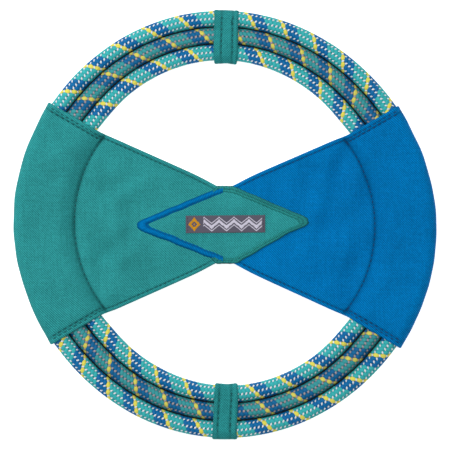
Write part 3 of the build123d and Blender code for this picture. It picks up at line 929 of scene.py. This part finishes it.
class Band:
    """A folded hem between an outer and an inner line, raised by its profile."""

    def __init__(self, outer, inner, profile, face, base_z, seed):
        outside = rounded_path(outer, OUTSIDE_CORNER_R)
        inside = rounded_path(inner, INSIDE_CORNER_R)
        profile = np.array(profile)
        s = np.linspace(0, 1, len(profile))
        steps = np.linalg.norm(np.diff(outside, axis=0), axis=1)
        length = np.concatenate([[0], np.cumsum(steps)])
        pucker = 1 + 0.09 * np.sin(2 * pi * length / STITCH_PITCH + 0.8 * np.sin(length / 5))
        wander = 0.14 * smooth_noise(length, 0 * length, seed, 9.0)
        fray = 0.05 * smooth_noise(length, 0 * length, seed + 1, 1.7)
        across = unit(inside - outside)
        plan = outside[:, None] * (1 - s)[:, None] + inside[:, None] * s[:, None]
        plan = plan + across[:, None] * (wander + fray)[:, None, None]
        crease = 0.10 * smooth_noise(length[:, None], 2.5 * s, seed + 2, 3.1)
        z = base_z + (profile + crease * (profile > 0.5)) * pucker[:, None]
        width = float(np.mean(np.linalg.norm(inside - outside, axis=1)))
        u, v = length[:, None], s * width
        self.face, self.length = face, length
        self.grid = np.concatenate([plan, face * z[..., None]], axis=-1)
        self.uv = stacked((u - v) * sqrt(0.5), (u + v) * sqrt(0.5))

    def piece(self, name, material, slot, shade_profile):
        rows, columns = self.grid.shape[:2]
        faces = grid_faces(rows, columns, flip=self.face > 0)
        painted_shades = np.tile(shade_profile, rows)
        return new_piece(name, self.grid, faces, material, self.uv, painted_shades)

    def sew(self, gathered, column, pitch, size, stitch_l):
        """Stitches along one of the band's columns."""
        def spot(t, lift):
            x, y, z = (np.interp(t, self.length, line) for line in self.grid[:, column].T)
            return stacked(x, y, z + self.face * lift)
        stitch_run(gathered, spot, self.length[-1], pitch, size, stitch_l)


def build_tips(face, name):
    """The crossing on one face: the blue tip's folded edge, the teal patch and its own."""
    blue = Band(BLUE_OUTER, BLUE_INNER, BLUE_PROFILE, face, BLUE_Z, 5 + face)
    blue_hem = blue.piece(f"right_wing_tip_hem_{name}", BLUE_BAND, "blue_cloth", BLUE_PAINTED_SHADE)
    teal = Band(TEAL_OUTER, TEAL_INNER, TEAL_PROFILE, face, TEAL_Z, 9 + face)
    teal_hem = teal.piece(f"{name}_patch_hem", TEAL_BAND, "teal_cloth", TEAL_PAINTED_SHADE)

    x = np.linspace(PATCH_TOP_EDGE[0][0], PATCH_TOP_EDGE[-1][0], PATCH_ROWS)[:, None]
    v = np.linspace(-1, 1, PATCH_COLUMNS)
    top, low = (np.interp(x, *zip(*edge)) for edge in (PATCH_TOP_EDGE, PATCH_LOW_EDGE))
    y = (top + low) / 2 + v * (top - low) / 2
    rim = (1 - np.abs(v)) * (top - low) / 2
    puff = PATCH_PUFF * (1 - np.exp(-rim / 3.0)) + 0.06 * smooth_noise(x, y, 31 + face, 16.0)
    grid = stacked(x, y, face * (PATCH_Z + puff))
    faces = grid_faces(PATCH_ROWS, PATCH_COLUMNS, flip=face < 0)
    patch = new_piece(f"{name}_patch_cloth", grid, faces, TEAL, grid[..., :2])
    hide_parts(f"{name}_patch")

    teal_sewn, blue_sewn = Gathered(), Gathered()
    for column, size in TEAL_SEAMS:
        teal.sew(teal_sewn, column, pitch=2.4, size=size, stitch_l=1.5)
    blue.sew(blue_sewn, BLUE_SEAM, pitch=2.6, size=0.3, stitch_l=1.7)
    teal_thread = teal_sewn.piece(f"{name}_patch_thread", TEAL_THREAD, "teal_thread")
    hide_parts(f"{name}_patch_stitching")
    blue_thread = blue_sewn.piece(f"right_wing_tip_thread_{name}", BLUE_THREAD, "blue_thread")
    return [blue_hem, blue_thread]


tip_pieces = build_tips(1, "front") + build_tips(-1, "back")
declare_wing(left_wing, left_sewing)
declare_wing(right_wing, right_sewing + tip_pieces)


# ---- Label ----
LABEL_LOW, LABEL_HIGH = box_mm("woven_label")
LABEL_L, LABEL_W = LABEL_HIGH[0] - LABEL_LOW[0], LABEL_HIGH[1] - LABEL_LOW[1]
LABEL_X, LABEL_Y = (LABEL_HIGH[0] + LABEL_LOW[0]) / 2, (LABEL_HIGH[1] + LABEL_LOW[1]) / 2 + 0.13
LABEL_TURN = radians(0.5)
LABEL_TOP = 2.55
LABEL_SIDE = 0.6  # cloth turned down at its edges
LABEL_ROW = 0.3  # between the weft floats of the motif
LABEL_ROWS, LABEL_COLUMNS = 120, 44
FLOAT_DIP = np.array([-0.10, 0.02, 0.05, 0.02, -0.10])  # heights along a float
FLOAT_STEP = 0.1
LOZENGE_X, LOZENGE_HALF_L, LOZENGE_HALF_W = -17.6, 3.7, 4.0
ZIGZAG_START, ZIGZAG_END = -12.6, 20.6
ZIGZAG_X0, ZIGZAG_RUN, ZIGZAG_RISE = -12.0, 4.2, 1.7


def on_label(x, y, z):
    """Turns points in the label's own plan into the ring's."""
    crown = 0.05 * np.cos(x * 0.21) + 0.03 * np.cos(y * 0.5)
    turned_x = LABEL_X + x * cos(LABEL_TURN) - y * sin(LABEL_TURN)
    turned_y = LABEL_Y + x * sin(LABEL_TURN) + y * cos(LABEL_TURN)
    return stacked(turned_x, turned_y, z + crown)


def motif(x, y):
    """Which thread floats on the label at x, y: 1 for an amber lozenge, 2 for pale zigzags."""
    lozenge = np.abs(x - LOZENGE_X) / LOZENGE_HALF_L + np.abs(y) / LOZENGE_HALF_W
    amber = (lozenge < 1) & (lozenge > 0.40) | (lozenge < 0.16)
    zigzag = ZIGZAG_RISE * (2 * np.abs(((x - ZIGZAG_X0) / ZIGZAG_RUN) % 2 - 1) - 1)
    off = np.abs(y - zigzag)
    pale = (x > ZIGZAG_START) & (x < ZIGZAG_END) & ((off < 1.15) | ((off > 1.8) & (off < 2.5)))
    return np.where(amber, 1, np.where(pale, 2, 0))


def label_line(count, near_edge, flat, length):
    """Places along the label with its edges turned down, and how far each is turned down."""
    middle = np.linspace(-flat, flat, count - 6)
    places = np.concatenate([[-0.5, -0.5, -near_edge], middle, [near_edge, 0.5, 0.5]]) * length
    turned = [LABEL_SIDE, 0.12, 0.03]
    return places, np.concatenate([turned, np.zeros(count - 6), turned[::-1]])


def build_label():
    x, drop_x = label_line(LABEL_ROWS, 0.497, 0.493, LABEL_L)
    y, drop_y = label_line(LABEL_COLUMNS, 0.49, 0.475, LABEL_W)
    drop = np.maximum(drop_x[:, None], drop_y)
    ribs = 0.02 * np.sin(2 * pi * y / LABEL_ROW)
    wobble = 0.05 * np.sin(x * 2.1)[:, None] * (np.abs(y) > 0.47 * LABEL_W)
    points = on_label(x[:, None], y + wobble, LABEL_TOP - drop + ribs)
    uv = stacked(x[:, None], y)
    faces = grid_faces(LABEL_ROWS, LABEL_COLUMNS)
    label = new_piece("label_tape", points, faces, LABEL, uv)
    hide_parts("woven_label")

    floats = {1: Gathered(), 2: Gathered()}
    spots = np.arange(-LABEL_L / 2 + 1, LABEL_L / 2 - 1, FLOAT_STEP)
    for row in np.arange(-LABEL_W / 2 + 0.9, LABEL_W / 2 - 0.8, LABEL_ROW):
        kinds = motif(spots, row)
        for kind, gathered in floats.items():
            marks = np.flatnonzero(np.diff(np.pad((kinds == kind).astype(int), 1)))
            for first, last in zip(marks[::2], marks[1::2]):
                run = np.linspace(spots[first], spots[last - 1] + FLOAT_STEP, len(FLOAT_DIP))
                path = on_label(run, row, LABEL_TOP + FLOAT_DIP)
                gathered.put_even_tube(path, 1, 0.30, 0.16, 6)
    amber = floats[1].piece("label_amber_floats", AMBER_THREAD, "label_weave")
    pale = floats[2].piece("label_pale_floats", PALE_THREAD, "label_weave")

    sewn = Gathered()
    for sign in (-1, 1):
        def spot(t, lift, x=sign * (LABEL_L / 2 - 1.1)):
            return on_label(x, t - LABEL_W / 2 + 0.7, LABEL_TOP + lift * 0.8)
        stitch_run(sewn, spot, LABEL_W - 1.4, pitch=1.6, size=0.3, stitch_l=1.2)
    stitches = sewn.piece("label_thread", DARK_THREAD, "label_thread")
    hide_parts("label_stitching")


build_label()


# ---- Straps ----
# By half: 1 for the upper strap and -1 for the lower one.
STRAP_SHIFT = {1: 0.75, -1: 0.5}
STRAP_LEAN = {1: -0.2, -1: 0.5}
STRAP_SEAMS = {1: (-2.5, 3.6), -1: (-3.9, 2.9)}
STRAP_PRESS = {1: (0.45, -0.6), -1: (0.0, 0.0)}  # how far it sinks into the outer and inner loop
STRAP_ROUND = 4 * FOLD_L + 2 * FLAT_L
STRAP_HALF_W = 6.7
STRAP_TURN_IN = 2.5  # from the middle, where the turned-in edges end
STRAP_CREST, STRAP_EDGE_FALL = 5.4, 0.7
STRAP_VALLEY, STRAP_VALLEY_W = 0.55, 0.65
SEAM_PAST_FLAT = 2.0  # a strap's seams run on past the flat of its face
STRAP_STEPS, STRAP_MIDDLE_COLUMNS = 240, 60


def strap_relief(half, s, w):
    """Rolled edges each side of two sewn valleys on the flat of both faces."""
    face_s = np.mod(np.mod(s, STRAP_ROUND / 2) - FOLD_L, STRAP_ROUND / 2)
    sewn = share(np.minimum(face_s + 5.0, FLAT_L + 5.0 - face_s) / 2.5)
    lift = 0.20 * ridge(np.abs(w) - STRAP_CREST, 0.8)
    valleys = sum(ridge(w - seam, STRAP_VALLEY_W) for seam in STRAP_SEAMS[half])
    lift = lift - STRAP_VALLEY * valleys * sewn + 0.05 * smooth_noise(s, w, 77, 7.0)
    rim = share((STRAP_HALF_W - np.abs(w)) / STRAP_EDGE_FALL)
    return lift - CLOTH_T * (1 - np.sqrt(1 - (1 - rim) ** 2))


def strap_section(s):
    """Radius and turn of the normal at a distance s round a strap, from its outer side's middle."""
    s = np.mod(s, STRAP_ROUND)
    marks = np.cumsum([FOLD_L, FLAT_L, 2 * FOLD_L, FLAT_L])
    stages = [s < mark for mark in marks]
    outer, inner = LOOP_R["outer"] + 0 * s, LOOP_R["inner"] + 0 * s
    up, down = pi / 2 + 0 * s, 3 * pi / 2 + 0 * s
    turns = [s / WRAP_R, up, up + (s - marks[1]) / WRAP_R, down]
    middles = [outer, outer - (s - marks[0]), inner, inner + (s - marks[2])]
    turn = np.select(stages, turns, down + (s - marks[3]) / WRAP_R)
    return np.select(stages, middles, outer), turn


def strap_point(half, s, w, extra=0.0):
    """Points of a strap's cloth at s round it and w along the loops, lifted off it by extra."""
    s, w = np.broadcast_arrays(np.asarray(s, float), np.asarray(w, float))
    middle, turn = strap_section(s)
    pucker = 0.05 * np.sin(2 * pi * s / STITCH_PITCH) * ridge(np.abs(w) - 3.0, 1.2)
    outside, inside = STRAP_PRESS[half]
    press = outside * np.maximum(np.cos(turn), 0) + inside * np.maximum(-np.cos(turn), 0)
    lift = WRAP_R + strap_relief(half, s, w) + extra + pucker - press
    lean = STRAP_LEAN[half] * (LOOP_R["middle"] - middle) / LOOP_PITCH
    angle = w / middle + (STRAP_SHIFT[half] + lean) / middle
    r = middle + lift * np.cos(turn)
    return stacked(r * np.sin(angle), half * r * np.cos(angle), lift * np.sin(turn))


def build_strap(name, half):
    s = np.linspace(0, STRAP_ROUND, STRAP_STEPS, endpoint=False)[:, None]
    edge = np.array([STRAP_TURN_IN, 5.9, *(STRAP_HALF_W - np.array([0, 0.05, 0.12, 0.22]))])
    inner = STRAP_HALF_W - 0.35
    middle = np.linspace(-inner, inner, STRAP_MIDDLE_COLUMNS)
    w = np.concatenate([-edge, middle, edge[::-1]])
    extra = 0 * (s + w)
    tucked = [0, 1, -2, -1]  # columns of the turned-in edges
    extra[:, tucked] = -CLOTH_T - 0.02 - strap_relief(half, s, w)[:, tucked]
    points = strap_point(half, s, w, extra)
    uv = stacked(w, s)
    faces = grid_faces(*points.shape[:2], close_rows=True, flip=half < 0)
    # Painted shade down in the strap's sewn valleys and at its rolled edges.
    painted_shades = 0.38 * sum(ridge(w - seam, 0.75) for seam in STRAP_SEAMS[half]) + 0 * s
    painted_shades = painted_shades + 0.3 * ridge(np.abs(w) - 6.0, 0.3)
    strap = new_piece(f"{name}_strap_cloth", points, faces, STRAP, uv, painted_shades)
    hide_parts(f"{name}_strap")

    sewn = Gathered()
    for flat_start in (FOLD_L, 3 * FOLD_L + FLAT_L):
        start = flat_start - SEAM_PAST_FLAT
        for seam in STRAP_SEAMS[half]:
            def spot(t, lift, start=start, seam=seam):
                return strap_point(half, start + t, seam, lift)
            stitch_run(sewn, spot, FLAT_L + 2 * SEAM_PAST_FLAT, size=0.55)
        for step in range(3):
            def tack(t, lift, s=start + 3.5 + 0.9 * step):
                return strap_point(half, s, 2.2 + t * 0.6, lift)
            stitch_run(sewn, tack, **TACK)
    stitches = sewn.piece(f"{name}_strap_thread", TEAL_THREAD, "teal_thread")
    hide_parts(f"{name}_strap_stitching")


build_strap("upper", 1)
build_strap("lower", -1)


# ---- Stage, in metres ----
FLOOR_REACH = 3.0
FLOOR_GLOW = 0.7
STUDIO_GLOW = 0.23
VIEW_WIDTH = 0.254
LENS = 200
SENSOR = 36
CAMERA_X, CAMERA_Y = 0.0002, -0.0004


def stage_floor():
    low = cad_box[0][2]
    signs = ((-1, -1), (1, -1), (1, 1), (-1, 1))
    corners = [(x * FLOOR_REACH, y * FLOOR_REACH, low) for x, y in signs]
    mesh = bpy.data.meshes.new("floor")
    mesh.from_pydata(corners, [], [(0, 1, 2, 3)])
    n = Nodes("floor_paper", 0.9, specular=0.1)
    n.shader.inputs["Emission Color"].default_value = (1, 1, 1, 1)
    n.shader.inputs["Emission Strength"].default_value = FLOOR_GLOW
    mesh.materials.append(n.finish((0.9, 0.9, 0.9, 1)))
    floor = add_object("floor", mesh)


def area_light(name, place, size, power):
    """A round lamp that points at the ring's centre."""
    light = bpy.data.lights.new(name, "AREA")
    light.shape, light.size, light.energy = "DISK", size, power
    lamp = add_object(name, light)
    lamp.location = place
    lamp.rotation_euler = (-Vector(place)).to_track_quat("-Z", "Y").to_euler()


stage_floor()
world = bpy.data.worlds.new("studio")
world.use_nodes = True
world.node_tree.nodes["Background"].inputs[0].default_value = (1, 1, 1, 1)
world.node_tree.nodes["Background"].inputs[1].default_value = STUDIO_GLOW
bpy.context.scene.world = world
area_light("key_light", (-0.65, 0.45, 0.8), 0.45, 6.0)
area_light("top_light", (0.1, 0.15, 1.3), 0.9, 8.2)

camera_data = bpy.data.cameras.new("camera")
camera_data.lens = LENS
camera_data.sensor_width = SENSOR
camera = add_object("camera", camera_data)
camera.location = (CAMERA_X, CAMERA_Y, MID_Z * MM + VIEW_WIDTH * LENS / SENSOR)
bpy.context.scene.camera = camera
bpy.context.scene.view_settings.view_transform = "Standard"
